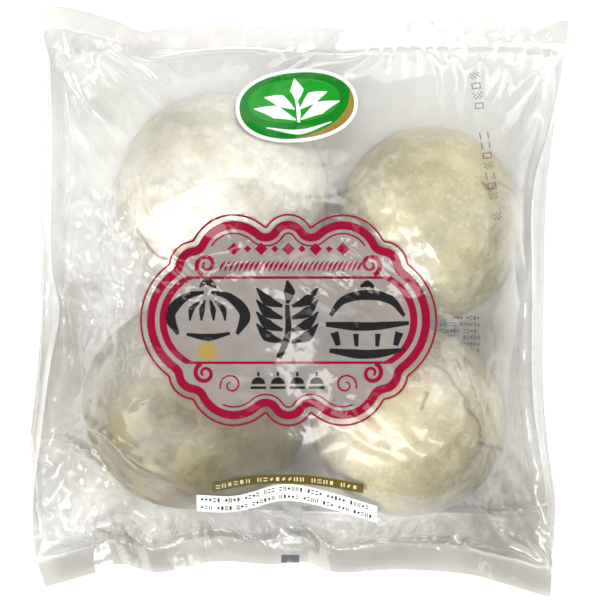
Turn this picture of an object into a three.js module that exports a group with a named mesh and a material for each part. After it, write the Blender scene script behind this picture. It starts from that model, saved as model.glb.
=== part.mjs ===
// A clear pillow bag holding four large round steamed buns, lying on its back, with a weight label stuck
// across its front. Millimetres, +Z up, +Y towards the bag's top seal. The bag is one closed solid: its
// front film is stretched over the bun domes, its back film lies flat on the table, and the two meet in
// a flat fin at the top and the bottom and in a fold along each side.
import * as THREE from "three";

// Driving dimensions.
const FILM = 0.8; // thickness of the bag where its two films lie together, in the fins and side folds
const FIN_SHARE = 0.05; // each sealed fin's share of the bag's length, about 12 mm
const COLUMNS = 46; // grid steps across the bag
const ROWS = 50; // grid steps along the bag
const FIN_ROWS = 2; // grid steps along one fin
const DOME_GAP = 0.5; // between a bun's crust and the film lying on it
const SAG = 0.1; // how far the front film sinks between what holds it up, at each grid point
const BACK_PUFF = 0.06; // how far trapped air presses the back film down, at each grid point
const RELAX_ROUNDS = 900; // rounds of smoothing that settle the films
const BASE_SHARE = 0.8; // share of a bun's width that its flat base presses on the table
const DOME_POWER = 2.5; // how square-shouldered the bun domes are: 2 is an ellipsoid

const LABEL = {
  width: 7.4,
  thickness: 0.4,
  gap: 0.5, // between the label and the faceted film under it
  steps: 26,
  stepsAcross: 3,
};

// The buns: centre, half width, half length and height of each dome.
const BUNS = [
  { x: -34.4, y: 45.6, halfWidth: 46.4, halfLength: 45.4, height: 51 },
  { x: 55.9, y: 34.2, halfWidth: 39.6, halfLength: 42.1, height: 47 },
  { x: -45.2, y: -44.5, halfWidth: 49.5, halfLength: 45.6, height: 50 },
  { x: 46.9, y: -51.4, halfWidth: 42.6, halfLength: 41.9, height: 47 },
];

// The air between the buns holds the front film up as a low dome would.
const AIR_POCKET = { x: -3, y: -7, halfWidth: 60, halfLength: 54, height: 46.5 };

// The bag's four edges, as points that a smooth curve passes through. The side folds pull in at the
// waist, and the fins' corners stick out, one of them curling up.
const BOTTOM_LEFT = [-110, -123, 9];
const BOTTOM_RIGHT = [108.4, -127.9, 4];
const TOP_LEFT = [-111, 127.5, 24];
const TOP_RIGHT = [116, 121.5, 9];
const EDGES = {
  left: [
    BOTTOM_LEFT,
    [-114.8, -106, 8],
    [-116, -93, 9],
    [-112, -59, 12],
    [-107.5, -25, 13],
    [-103.8, -4, 11],
    [-107.5, 18, 13],
    [-107.3, 66, 12],
    [-108.2, 104, 12],
    [-110.1, 113.3, 15],
    TOP_LEFT,
  ],
  right: [
    BOTTOM_RIGHT,
    [108.6, -106, 4],
    [105.8, -80, 8],
    [100.6, -42, 12],
    [100.1, 5, 13],
    [100.7, 50, 12],
    [107.9, 76, 10],
    [114.4, 106, 8],
    TOP_RIGHT,
  ],
  bottom: [
    BOTTOM_LEFT,
    [-90.3, -117.4, 7],
    [-77.4, -113, 10],
    [-62.4, -116.8, 4],
    [-36.6, -112, 9],
    [-12, -113.2, 6],
    [2, -112.2, 8],
    [15, -116.6, 4],
    [43, -115.5, 6],
    [73, -117.6, 7],
    [86, -121, 4],
    BOTTOM_RIGHT,
  ],
  top: [
    TOP_LEFT,
    [-98.9, 126.4, 22],
    [-78.3, 120.8, 16],
    [-68.8, 116.9, 10],
    [-53.8, 118.4, 9],
    [0, 119, 10],
    [19.4, 118.3, 8],
    [36.6, 120.5, 9],
    [86, 121.5, 8],
    TOP_RIGHT,
  ],
};

// Large folds of the front film: ridges (or valleys, where height is negative) along a smooth line.
const FOLDS = [
  { name: "top left corner", height: 3.4, width: 4.6, line: [[-106, 110], [-84, 99], [-64, 82]] },
  { name: "left of upper bun", height: 2.6, width: 4.6, line: [[-104, 100], [-96, 80], [-88, 64]] },
  { name: "top right corner", height: 3.8, width: 5, line: [[111, 104], [98, 90], [83, 74]] },
  { name: "right shoulder", height: 1.8, width: 4.4, line: [[93, 52], [78, 24], [69, 0]] },
  {
    name: "corner pocket",
    height: 4.2,
    width: 4.6,
    line: [[-107, -85], [-97, -68], [-86, -63], [-75, -71], [-71, -84]],
  },
  { name: "left crumple", height: 3.6, width: 4.8, line: [[-88, 44], [-90, 24], [-84, 6], [-87, -16]] },
  { name: "left crumple tuck", height: -2.4, width: 4.4, line: [[-97, 40], [-99, 14], [-94, -12]] },
  {
    name: "gathered bottom left",
    height: 3,
    width: 4.4,
    line: [[-112, -95], [-90, -92], [-66, -88], [-40, -94]],
  },
  {
    name: "gathered bottom right",
    height: 2.6,
    width: 4.4,
    line: [[12, -99], [40, -100], [72, -101], [104, -102]],
  },
  { name: "lower right flap", height: 1.6, width: 4.4, line: [[31, -43], [44, -55], [56, -67]] },
  { name: "right edge tuck", height: -2.2, width: 4.4, line: [[97, -48], [101, -74], [104, -98]] },
];

// The label's centre line across the film, as seen from above.
const LABEL_LINE = [[-44.3, -85.9], [-27.5, -86.4], [-9, -81.7], [0, -82], [15, -85.6], [33.1, -91]];

const curveThrough = (points) => {
  const spots = points.map(([x, y, z = 0]) => new THREE.Vector3(x, y, z));
  return new THREE.CatmullRomCurve3(spots, false, "centripetal");
};

// Shares of the way along the bag at which the grid's rows lie: close in the fins, even between them.
function rowShares() {
  const bodyRows = ROWS - 2 * FIN_ROWS;
  return Array.from({ length: ROWS + 1 }, (_, row) => {
    if (row <= FIN_ROWS) return (FIN_SHARE * row) / FIN_ROWS;
    if (row >= ROWS - FIN_ROWS) return 1 - (FIN_SHARE * (ROWS - row)) / FIN_ROWS;
    return FIN_SHARE + ((1 - 2 * FIN_SHARE) * (row - FIN_ROWS)) / bodyRows;
  });
}

// The flat layout of the bag: a Coons patch between its four edge curves, as rows of points.
function layOut() {
  const sides = ["left", "right", "bottom", "top"];
  const [left, right, bottom, top] = sides.map((side) => curveThrough(EDGES[side]));
  const corner = (curve, share) => curve.getPointAt(share);
  return rowShares().map((v) =>
    Array.from({ length: COLUMNS + 1 }, (_, column) => {
      const u = column / COLUMNS;
      const acrossWay = corner(bottom, u).multiplyScalar(1 - v).addScaledVector(corner(top, u), v);
      const alongWay = corner(left, v).multiplyScalar(1 - u).addScaledVector(corner(right, v), u);
      const corners = corner(bottom, 0)
        .multiplyScalar((1 - u) * (1 - v))
        .addScaledVector(corner(bottom, 1), u * (1 - v))
        .addScaledVector(corner(top, 0), (1 - u) * v)
        .addScaledVector(corner(top, 1), u * v);
      return acrossWay.add(alongWay).sub(corners);
    }),
  );
}

const sealed = (row, column) =>
  row <= FIN_ROWS || row >= ROWS - FIN_ROWS || column === 0 || column === COLUMNS;

// Height over a point of whatever holds the front film up there, or 0 where nothing does.
function domeHeight(x, y) {
  return Math.max(
    ...[...BUNS, AIR_POCKET].map((dome) => {
      const reach = Math.hypot((x - dome.x) / dome.halfWidth, (y - dome.y) / dome.halfLength);
      return reach < 1 ? dome.height * (1 - reach ** DOME_POWER) ** (1 / DOME_POWER) : 0;
    }),
  );
}

const onBase = (x, y) =>
  BUNS.some((bun) => Math.hypot((x - bun.x) / bun.halfWidth, (y - bun.y) / bun.halfLength) < BASE_SHARE);

// Settles a film between its sealed edges: each point moves to the mean of its neighbours, plus a
// push, and is then held to what the film rests on.
function settle(layout, start, push, hold) {
  const height = layout.map((line, row) =>
    line.map((spot, column) => (sealed(row, column) ? start(spot) : spot.z)),
  );
  for (let round = 0; round < RELAX_ROUNDS; round++)
    for (let row = 1; row < ROWS; row++)
      for (let column = 1; column < COLUMNS; column++) {
        if (sealed(row, column)) continue;
        const along = height[row - 1][column] + height[row + 1][column];
        const across = height[row][column - 1] + height[row][column + 1];
        height[row][column] = hold((along + across) / 4 + push, layout[row][column]);
      }
  return height;
}

// What the folds add to the front film's height at a point.
function makeFolds() {
  const folds = FOLDS.map(({ height, width, line }) => {
    const spots = curveThrough(line).getSpacedPoints(40);
    return { height, width, spots };
  });
  return (x, y) =>
    folds.reduce((sum, { height, width, spots }) => {
      let nearest = Infinity;
      let at = 0;
      spots.forEach((spot, step) => {
        const distance = Math.hypot(spot.x - x, spot.y - y);
        if (distance < nearest) [nearest, at] = [distance, step / (spots.length - 1)];
      });
      const taper = Math.sin(Math.PI * (0.12 + 0.76 * at));
      return sum + height * taper * Math.exp(-((nearest / width) ** 2));
    }, 0);
}

// A closed mesh from two stacked grids of points that share one outline.
function closedFrom(upper, lower) {
  const rows = upper.length;
  const columns = upper[0].length;
  const position = [...upper.flat(), ...lower.flat()].flatMap(({ x, y, z }) => [x, y, z]);
  const above = (row, column) => row * columns + column;
  const below = (row, column) => rows * columns + above(row, column);
  const index = [];
  const quad = (a, b, c, d) => index.push(a, b, c, a, c, d);
  for (let row = 0; row < rows - 1; row++)
    for (let column = 0; column < columns - 1; column++) {
      quad(above(row, column), above(row, column + 1), above(row + 1, column + 1), above(row + 1, column));
      quad(below(row, column), below(row + 1, column), below(row + 1, column + 1), below(row, column + 1));
    }
  for (let column = 0; column < columns - 1; column++) {
    quad(below(0, column), below(0, column + 1), above(0, column + 1), above(0, column));
    const last = rows - 1;
    quad(above(last, column), above(last, column + 1), below(last, column + 1), below(last, column));
  }
  for (let row = 0; row < rows - 1; row++) {
    quad(above(row, 0), above(row + 1, 0), below(row + 1, 0), below(row, 0));
    const last = columns - 1;
    quad(below(row, last), below(row + 1, last), above(row + 1, last), above(row, last));
  }
  const geometry = new THREE.BufferGeometry();
  geometry.setAttribute("position", new THREE.Float32BufferAttribute(position, 3));
  geometry.setIndex(index);
  geometry.computeVertexNormals();
  return geometry;
}

function makeBag() {
  const layout = layOut();
  const foldAt = makeFolds();
  const front = settle(
    layout,
    (spot) => spot.z + FILM / 2,
    -SAG,
    (height, { x, y }) => Math.max(height, domeHeight(x, y) + DOME_GAP),
  );
  const back = settle(
    layout,
    (spot) => spot.z - FILM / 2,
    -BACK_PUFF,
    (height, { x, y }) => (onBase(x, y) ? 0 : Math.max(height, 0)),
  );
  const grid = (height) =>
    layout.map((line, row) =>
      line.map(({ x, y }, column) => new THREE.Vector3(x, y, height(row, column, x, y))),
    );
  const lower = grid((row, column) => back[row][column]);
  const upper = grid((row, column, x, y) => {
    const folded = front[row][column] + (sealed(row, column) ? 0 : foldAt(x, y));
    return Math.max(folded, back[row][column] + FILM);
  });
  const material = new THREE.MeshStandardMaterial({ color: 0xdcd8c8, roughness: 0.25, metalness: 0 });
  const bag = new THREE.Mesh(closedFrom(upper, lower), material);
  bag.name = "bag";
  return bag;
}

// The weight label: a thin strip that follows the front film.
function makeLabel(bag) {
  const line = curveThrough(LABEL_LINE);
  const ray = new THREE.Raycaster();
  const filmAt = (x, y) => {
    ray.set(new THREE.Vector3(x, y, 100), new THREE.Vector3(0, 0, -1));
    return ray.intersectObject(bag)[0].point.z;
  };
  const layer = (lift) =>
    Array.from({ length: LABEL.stepsAcross + 1 }, (_, across) =>
      Array.from({ length: LABEL.steps + 1 }, (_, along) => {
        const spot = line.getPointAt(along / LABEL.steps);
        const offset = LABEL.width * (across / LABEL.stepsAcross - 0.5);
        return new THREE.Vector3(spot.x, spot.y + offset, filmAt(spot.x, spot.y + offset) + lift);
      }),
    );
  const geometry = closedFrom(layer(LABEL.gap + LABEL.thickness), layer(LABEL.gap));
  const material = new THREE.MeshStandardMaterial({ color: 0xf1f1ef, roughness: 0.5, metalness: 0 });
  const label = new THREE.Mesh(geometry, material);
  label.name = "weight_label";
  return label;
}

const pack = new THREE.Group();
const bag = makeBag();
pack.add(bag, makeLabel(bag));

// The origin is the middle of the pack's footprint, on the table.
const box = new THREE.Box3().setFromObject(pack);
const middle = box.getCenter(new THREE.Vector3());
pack.position.set(-middle.x, -middle.y, -box.min.z);

export default pack;
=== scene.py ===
"""Looks of a clear pillow bag of four large steamed buns: creased film, buns, print and label.

The film is settled here as a real sheet is: a grid of points that keeps its lengths, lies on the buns'
domes and holds the air in the bag. The print is a thin layer on the front film.
Lengths are in millimetres in the shared frame until a mesh is made.
"""
import math
from collections import namedtuple

import bpy
import numpy as np
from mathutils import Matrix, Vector, geometry
from mathutils.bvhtree import BVHTree
from mathutils.kdtree import KDTree


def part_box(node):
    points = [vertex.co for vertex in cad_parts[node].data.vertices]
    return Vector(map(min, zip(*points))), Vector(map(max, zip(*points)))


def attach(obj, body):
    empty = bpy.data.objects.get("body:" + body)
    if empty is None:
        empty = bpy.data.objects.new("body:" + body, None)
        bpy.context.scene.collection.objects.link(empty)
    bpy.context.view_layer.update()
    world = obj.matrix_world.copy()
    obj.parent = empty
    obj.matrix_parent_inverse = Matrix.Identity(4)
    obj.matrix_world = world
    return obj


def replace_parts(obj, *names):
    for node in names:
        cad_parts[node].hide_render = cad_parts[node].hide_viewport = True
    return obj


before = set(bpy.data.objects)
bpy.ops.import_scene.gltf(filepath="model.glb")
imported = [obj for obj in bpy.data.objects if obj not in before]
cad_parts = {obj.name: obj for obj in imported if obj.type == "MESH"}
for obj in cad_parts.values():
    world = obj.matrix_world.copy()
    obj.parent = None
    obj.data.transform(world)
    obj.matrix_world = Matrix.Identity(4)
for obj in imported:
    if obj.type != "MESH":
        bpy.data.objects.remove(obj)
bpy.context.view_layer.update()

MM = 0.001
SEED = 11

# ---- The bag and the buns ----

# The buns: centre, half width and half length, and height of each dome, how light its skin is (in part
# painted light: the upper left bun is lighter and the lower left darker as the light falls on them), how much
# green and blue it has to its red, how frosty and how flaky it is, and the seed of its lumps.
Bun = namedtuple("Bun", "at half height tone hue frost flaky seed")
BUNS = {
    "bun_top_left": Bun((-34.4, 45.6), (46.4, 45.4), 51.0, 1.14, (1.07, 1.20), 0.50, 0.25, 3),
    "bun_top_right": Bun((56.0, 34.4), (40.4, 42.8), 47.0, 0.86, (1.0, 0.83), 0.60, 0.35, 4),
    "bun_bottom_left": Bun((-45.2, -44.5), (49.5, 45.6), 50.0, 0.50, (0.92, 0.52), 0.55, 0.75, 5),
    "bun_bottom_right": Bun((46.9, -51.4), (42.6, 41.9), 47.0, 0.86, (0.98, 0.83), 0.50, 0.35, 6),
}
# The air between the four buns holds the film up as a low dome would.
Dome = namedtuple("Dome", "at half height")
AIR_POCKET = Dome((-3.0, -7.0), (60.0, 54.0), 46.5)
DOME_POWER = 2.5  # how square-shouldered a dome is: 2 is an ellipsoid
FILM_GAP = 0.6  # between a dome and the film lying on it

# The bag's four edges: points that a smooth curve passes through, as in the CAD.
BOTTOM_LEFT, BOTTOM_RIGHT = (-110, -123, 9), (108.4, -127.9, 4)
TOP_LEFT, TOP_RIGHT = (-111, 127.5, 24), (116, 121.5, 9)
EDGES = {
    "left": [
        BOTTOM_LEFT, (-114.8, -106, 8), (-116, -93, 9), (-112, -59, 12), (-107.5, -25, 13), (-103.8, -4, 11),
        (-107.5, 18, 13), (-107.3, 66, 12), (-108.2, 104, 12), (-110.1, 113.3, 15), TOP_LEFT,
    ],
    "right": [
        BOTTOM_RIGHT, (108.6, -106, 4), (105.8, -80, 8), (100.6, -42, 12), (100.1, 5, 13),
        (100.7, 50, 12), (107.9, 76, 10), (114.4, 106, 8), TOP_RIGHT,
    ],
    "bottom": [
        BOTTOM_LEFT, (-90.3, -117.4, 7), (-77.4, -113, 10), (-62.4, -116.8, 4), (-36.6, -112, 9),
        (-12, -113.2, 6), (2, -112.2, 8), (15, -116.6, 4), (43, -115.5, 6), (73, -117.6, 7),
        (86, -121, 4), BOTTOM_RIGHT,
    ],
    "top": [
        TOP_LEFT, (-98.9, 126.4, 22), (-78.3, 120.8, 16), (-68.8, 116.9, 10), (-53.8, 118.4, 9),
        (0, 119, 10), (19.4, 118.3, 8), (36.6, 120.5, 9), (86, 121.5, 8), TOP_RIGHT,
    ],
}
FIN = 12.0  # length of each sealed fin

# The film, as it was cut, and the air that it holds in.
FILM_WIDTH = 243.0
FILM_LENGTH = 262.0
AIR_AND_BUNS = 1.42e6  # cubic millimetres between the front film and the table
Stage = namedtuple("Stage", "spacing rounds bend noise")
SETTLING = [Stage(5.0, 500, 0.50, 1.0), Stage(2.5, 500, 0.35, 0.3), Stage(1.7, 350, 0.28, 0.1)]
FIRST_RISE = 55  # how high the front film's middle stands before it settles
EDGE_SLACK = 0.35  # share of the film's spare length that is left along its sealed edges
FRONT_ROWS, FRONT_COLUMNS = 261, 245  # the final front grid: both odd, as the back takes every other one
BACK_LEVEL, FRONT_LEVEL = 0.3, 0.35  # the least height of each film off the table
FIN_GAP = 0.25  # between the two films in a fin

# Folds that stand out of the film: the height and half width of each, and the line it runs along.
FOLDS = [
    (2.6, 7, [(-106, 110), (-84, 99), (-64, 82)]),  # top left corner
    (2.0, 6, [(-104, 100), (-96, 80), (-88, 64)]),  # left of the upper left bun
    (2.8, 7, [(111, 104), (98, 90), (83, 74)]),  # top right corner
    (1.2, 6, [(93, 52), (78, 24), (69, 0)]),  # along the upper right bun
    (3.2, 4, [(-108, -72), (-101, -58), (-92, -52), (-82, -57), (-70, -67), (-54, -76)]),  # corner pocket
    (2.0, 5, [(-82, 48), (-76, 26), (-74, 18)]),  # left pleat
    (2.0, 5, [(-76, 19), (-80, 5), (-85, -12)]),  # its lower part
    (-2.2, 7, [(-90, 46), (-92, 24), (-90, 2)]),  # left crumple
    (1.8, 6, [(-98, 40), (-99, 14), (-94, -18)]),  # beside it
    (1.3, 9, [(-62, 42), (-40, 51), (-18, 53), (8, 45)]),  # across the upper left bun
    (1.2, 6, [(-60, 17), (-48, 26), (-38, 37)]),  # beside the frame
    (1.5, 6, [(-50, 6), (-34, 14), (-18, 19)]),  # into the panel
    (1.4, 8, [(36, 50), (52, 30), (68, 4)]),  # down the upper right bun
    (1.8, 5, [(-112, -95), (-90, -92), (-66, -88), (-40, -94)]),  # gathers at the bottom left
    (1.8, 5, [(12, -99), (40, -100), (72, -101), (104, -102)]),  # gathers at the bottom right
    (1.6, 7, [(26, -38), (38, -52), (52, -66)]),  # across the lower right bun
    (1.6, 6, [(52, -66), (64, -58), (70, -46), (68, -30)]),  # back up the lower right bun
    (1.3, 4, [(10, -50), (26, -59), (44, -68)]),  # out of the frame
    (1.2, 4, [(16, -43), (27, -51), (36, -61)]),  # out of the frame, above
    (1.8, 4, [(68, -24), (75, -40), (80, -58)]),  # bright pleat on the right
    (1.6, 4, [(-77, -94), (-80, -106), (-81, -118)]),  # through the bottom fin
    (1.6, 4, [(-31, -96), (-33, -106), (-36, -115)]),  # through its middle
    (1.4, 4, [(38, -99), (41, -108), (44, -118)]),  # through its right half
    (-1.6, 6, [(97, -48), (101, -74), (104, -98)]),  # along the right edge
]

# Creases that break the film into facets: the size of a facet, how far it stands out, how much longer
# it is along one direction, that direction in degrees, a seed, and how much more than the others it
# keeps to the creased places.
Crease = namedtuple("Crease", "size depth longer along seed only")
CREASES = [
    Crease(30.0, 2.4, 1.7, 40, 31, 0.5),
    Crease(14.0, 1.5, 1.8, -35, 32, 1.2),
    Crease(6.0, 0.42, 2.8, 15, 33, 1.5),
    Crease(5.0, 0.36, 3.0, 75, 34, 2.0),
    Crease(3.4, 0.26, 3.2, -30, 35, 3.5),
]
# How creased the film is away from the places below, and of each place its centre, its reach and how
# creased it is there.
LEAST_CREASED = 0.45
CREASED = [
    ((-40, 18), 40, 0.9), ((-90, 18), 30, 1.5), ((72, -52), 34, 0.9), ((45, 20), 34, 0.9),
    ((-92, -68), 24, 1.2), ((-76, -28), 24, 1.0), ((-10, 2), 30, 0.8), ((28, -50), 24, 1.2),
    ((-70, -98), 18, 1.7), ((-38, -98), 18, 1.7), ((-5, -100), 16, 1.7), ((92, -84), 18, 1.3),
]

# Places where the film is milkier (at one spot a painted highlight), is darkened by painted shade, clings
# to the dough and so takes on its grain, lies tight with a broad sheen, or is crushed: the centre and half
# size of each, and how much.
CLOUDS = {
    # Milk is the film's own haze, but at (-76, -24) on the lower left bun it is a painted highlight: it
    # whitens the film where glare lies.
    "milk_and_painted_glare": [
        ((0, 104), (120, 22), 0.17), ((105, 20), (13, 75), 0.50), ((-106, 30), (9, 85), 0.20),
        ((-42, 56), (34, 22), 0.06), ((-12, -97), (86, 9), 0.12), ((-89, 18), (20, 42), 0.22),
        ((-76, -24), (24, 22), 0.13), ((75, 100), (40, 30), 0.15),
    ],
    # Painted shade: it darkens the see-through film over the lower left bun, in the gaps between the buns,
    # along the bottom and at the lower right, at the left and in the top left corner.
    "shade": [
        ((-54, -60), (42, 28), 0.9), ((15, 44), (10, 18), 0.6), ((3, -68), (8, 15), 0.5),
        ((-92, 98), (28, 22), 0.25), ((68, -14), (24, 12), 0.4), ((90, -96), (36, 26), 0.75),
        ((0, -104), (110, 14), 0.25), ((-100, -25), (18, 55), 0.5),
    ],
    "cling": [
        ((30, -53), (30, 20), 0.8), ((-40, -62), (42, 32), 0.9), ((60, 52), (36, 30), 0.9),
        ((60, -62), (34, 26), 0.6), ((-34, 76), (40, 20), 0.9),
    ],
    "sheen": [((30, -53), (30, 20), 0.8), ((-32, 30), (50, 24), 1.0), ((42, 18), (26, 22), 0.9)],
    "crumple": [
        ((-89, 18), (20, 42), 1.0), ((-76, -24), (24, 22), 0.4), ((-60, -97), (58, 9), 1.0),
        ((36, -100), (66, 7), 0.8), ((-98, -84), (18, 30), 0.5), ((86, -56), (18, 38), 0.45),
        ((92, 96), (26, 24), 0.35), ((-92, 100), (26, 24), 0.35),
    ],
}

# Cracks in the buns' skins: the width of each, how dark brown it is (the crack's own brown and painted
# shade in its groove), and its line across the bun's top.
CRACKS = [
    # The first crack, on the upper left bun, also stands for the dark line of a crease in the film: painted
    # shade.
    (1.5, 1.0, [(-70.0, 31.0), (-67.4, 27.5), (-64.5, 22.6), (-59.8, 18.3), (-51.6, 19.6)]),
    (1.2, 0.75, [(78.3, 51.4), (81.7, 48.0), (84.7, 51.0), (88.6, 50.1), (92.0, 47.9), (93.7, 45.4)]),
    (1.4, 0.8, [(57.6, -26.4), (62.8, -29.5), (65.8, -34.6), (70.1, -39.8), (71.4, -44.5), (76.5, -50.5),
                (78.6, -58.0)]),
    (1.7, 1.0, [(77.8, -60.4), (81.7, -61.7), (86.9, -63.0)]),
    (1.1, 0.5, [(54.6, -38.5), (52.0, -45.0)]),
    (1.9, 1.0, [(-83.0, -60.0), (-79.6, -64.3), (-76.1, -68.2), (-71.4, -72.0), (-66.2, -74.2),
                (-58.9, -76.8), (-51.6, -80.2), (-46.4, -83.6)]),
]

# ---- Curves and patterns ----


def blend(t, low, high, start, end):
    """What runs evenly from a low value at the start to a high one at the end."""
    return (end - t) / (end - start) * low + (t - start) / (end - start) * high


def curve_through(points, count):
    """Evenly spaced points on the centripetal Catmull-Rom curve through some points."""
    samples = 2400
    p = np.array(points, float)
    p = np.vstack([2 * p[0] - p[1], p, 2 * p[-1] - p[-2]])
    parts = []
    per = samples // (len(p) - 3)
    for k in range(1, len(p) - 2):
        a, b, c, d = p[k - 1 : k + 3]
        t1 = np.linalg.norm(b - a) ** 0.5
        t2 = t1 + np.linalg.norm(c - b) ** 0.5
        t3 = t2 + np.linalg.norm(d - c) ** 0.5
        t = np.linspace(t1, t2, per, endpoint=k == len(p) - 3)[:, None]
        ab, bc, cd = blend(t, a, b, 0, t1), blend(t, b, c, t1, t2), blend(t, c, d, t2, t3)
        abc, bcd = blend(t, ab, bc, 0, t2), blend(t, bc, cd, t1, t3)
        parts.append(blend(t, abc, bcd, t1, t2))
    q = np.vstack(parts)
    run = run_along(q)
    want = np.linspace(0, run[-1], count)
    return np.stack([np.interp(want, run, q[:, k]) for k in range(q.shape[1])], 1)


def run_along(line):
    """How far along a line each of its points is."""
    return np.concatenate([[0], np.cumsum(np.linalg.norm(np.diff(line, axis=0), axis=1))])


def from_line(x, y, line):
    """How far each point is from each point of a line."""
    return np.hypot(x[..., None] - line[:, 0], y[..., None] - line[:, 1])


def reach_from(x, y, at, half):
    """How far each point is from the centre of an ellipse, as a share of the way to its edge."""
    return np.hypot((x - at[0]) / half[0], (y - at[1]) / half[1])


def smooth_noise(x, y, z, seed, waves, longest, shortest):
    """Soft lumps: a few seeded waves of different lengths and directions, from about -1 to 1."""
    rng = np.random.default_rng(seed)
    total = np.zeros_like(x)
    weight = 0.0
    for k in range(waves):
        length = longest * (shortest / longest) ** (k / (waves - 1))
        way = rng.normal(size=3)
        way /= np.linalg.norm(way)
        phase = rng.uniform(0, math.tau)
        size = (length / longest) ** 0.9
        total += size * np.sin(math.tau / length * (x * way[0] + y * way[1] + z * way[2]) + phase)
        weight += size * size
    return total / math.sqrt(weight)


def facets(x, y, size, seed):
    """A cell pattern: at each point, how far it is from the border of its cell, and the cell's own value
    from -1 to 1."""
    repeat, wander = 64, 0.42
    table = np.random.default_rng(seed).uniform(-1, 1, (repeat, repeat, 3))
    column, row = np.floor(x / size).astype(int), np.floor(y / size).astype(int)
    nearest = np.full(x.shape, 9.0)
    second = np.full(x.shape, 9.0)
    value = np.zeros(x.shape)
    for right in (-1, 0, 1):
        for up in (-1, 0, 1):
            cell = table[(column + right) % repeat, (row + up) % repeat]
            dx = column + right + 0.5 + wander * cell[..., 0] - x / size
            dy = row + up + 0.5 + wander * cell[..., 1] - y / size
            far = np.hypot(dx, dy)
            closer = far < nearest
            second = np.where(closer, nearest, np.minimum(second, far))
            value = np.where(closer, cell[..., 2], value)
            nearest = np.where(closer, far, nearest)
    return second - nearest, value


# ---- Film ----


def lay_out(rows, columns):
    """The flat layout of the bag: a Coons patch between its four edges, moved to where the CAD bag is."""
    left, right = (curve_through(EDGES[side], rows)[:, None] for side in ("left", "right"))
    bottom, top = (curve_through(EDGES[side], columns) for side in ("bottom", "top"))
    u = np.linspace(0, 1, columns)[None, :, None]
    v = np.linspace(0, 1, rows)[:, None, None]
    grid = bottom[None] * (1 - v) + top[None] * v + left * (1 - u) + right * u
    lower = bottom[0] * (1 - u) + bottom[-1] * u
    upper = top[0] * (1 - u) + top[-1] * u
    return grid - lower * (1 - v) - upper * v + bag_shift()


def bag_shift():
    """How far the CAD bag's middle is from the middle of the edges as drawn above."""
    outline = np.vstack([curve_through(line, 200) for line in EDGES.values()])
    drawn = (outline.min(0) + outline.max(0)) / 2
    low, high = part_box("bag")
    return np.array([(low.x + high.x) / 2 / MM - drawn[0], (low.y + high.y) / 2 / MM - drawn[1], 0.0])


def fins(rows):
    """The rows of a film's grid that lie in its bottom fin, and in its top one."""
    fin = round(FIN / (FILM_LENGTH / (rows - 1)))
    return slice(0, fin + 1), slice(rows - fin - 1, rows)


def resample(grid, rows, columns):
    """A grid of points resampled by a smooth cubic."""

    def along(g, count):
        t = np.linspace(0, len(g) - 1, count)
        k = np.clip(t.astype(int), 0, len(g) - 2)
        f = (t - k)[:, None, None]
        padded = np.concatenate([2 * g[:1] - g[1:2], g, 2 * g[-1:] - g[-2:-1]])
        a, b, c, d = (padded[k + step] for step in range(4))
        return b + 0.5 * f * (c - a + f * (2 * a - 5 * b + 4 * c - d + f * (3 * (b - c) + d - a)))

    across = along(np.swapaxes(along(grid, rows), 0, 1), columns)
    return np.swapaxes(across, 0, 1)


def pull(p, free, a, b, rest, stiff_long, stiff_short):
    """Moves two slices of the grid so that each pair of points nears its rest distance."""
    gap = p[b] - p[a]
    length = np.sqrt((gap * gap).sum(-1, keepdims=True)) + 1e-9
    off = length - rest
    stiff = np.where(off > 0, stiff_long, stiff_short)
    move = gap * (off / length * stiff / (free[a] + free[b] + 1e-9))
    p[a] += move * free[a]
    p[b] -= move * free[b]


def pairs(count, step):
    """Slices that pair up points a step apart, so that no point is in two pairs of one slice."""
    for start in range(step):
        for phase in (0, step):
            first = start + phase
            number = (count - first - step - 1) // (2 * step) + 1
            if number > 0:
                last = first + (number - 1) * 2 * step + 1
                yield slice(first, last, 2 * step), slice(first + step, last + step, 2 * step)


def keep_lengths(p, free, across, along, bend):
    """One round of the film's own stiffness: it hardly stretches or shears, and it bends a little."""
    every, most, rest = slice(None), slice(0, -1), slice(1, None)
    stretch, shear = (1.0, 0.8), (0.8, 0.64)
    diagonal = np.sqrt(across[:-1] ** 2 + along[:, :-1] ** 2)
    rows, columns, _ = p.shape
    for a, b in pairs(columns, 1):
        pull(p, free, (every, a), (every, b), across, *stretch)
    for a, b in pairs(rows, 1):
        pull(p, free, (a, every), (b, every), along, *stretch)
        pull(p, free, (a, most), (b, rest), diagonal[a], *shear)
        pull(p, free, (a, rest), (b, most), diagonal[a], *shear)
    for a, b in pairs(columns, 2):
        pull(p, free, (every, a), (every, b), 2 * across, bend, bend)
    for a, b in pairs(rows, 2):
        pull(p, free, (a, every), (b, every), 2 * along, bend, bend)


def hold_air(p, free, volume):
    """Pushes the film outward or lets it sink, so that the bag keeps its volume."""
    stiffness, most = 8.0, 0.5
    across = p[1:-1, 2:] - p[1:-1, :-2]
    along = p[2:, 1:-1] - p[:-2, 1:-1]
    normal = np.cross(across, along) / 4
    have = float((p[1:-1, 1:-1, 2] * normal[..., 2]).sum())
    push = np.clip((volume - have) / volume * stiffness, -most, most)
    normal /= np.linalg.norm(normal, axis=-1, keepdims=True) + 1e-9
    p[1:-1, 1:-1] += normal * push * free[1:-1, 1:-1]


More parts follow.
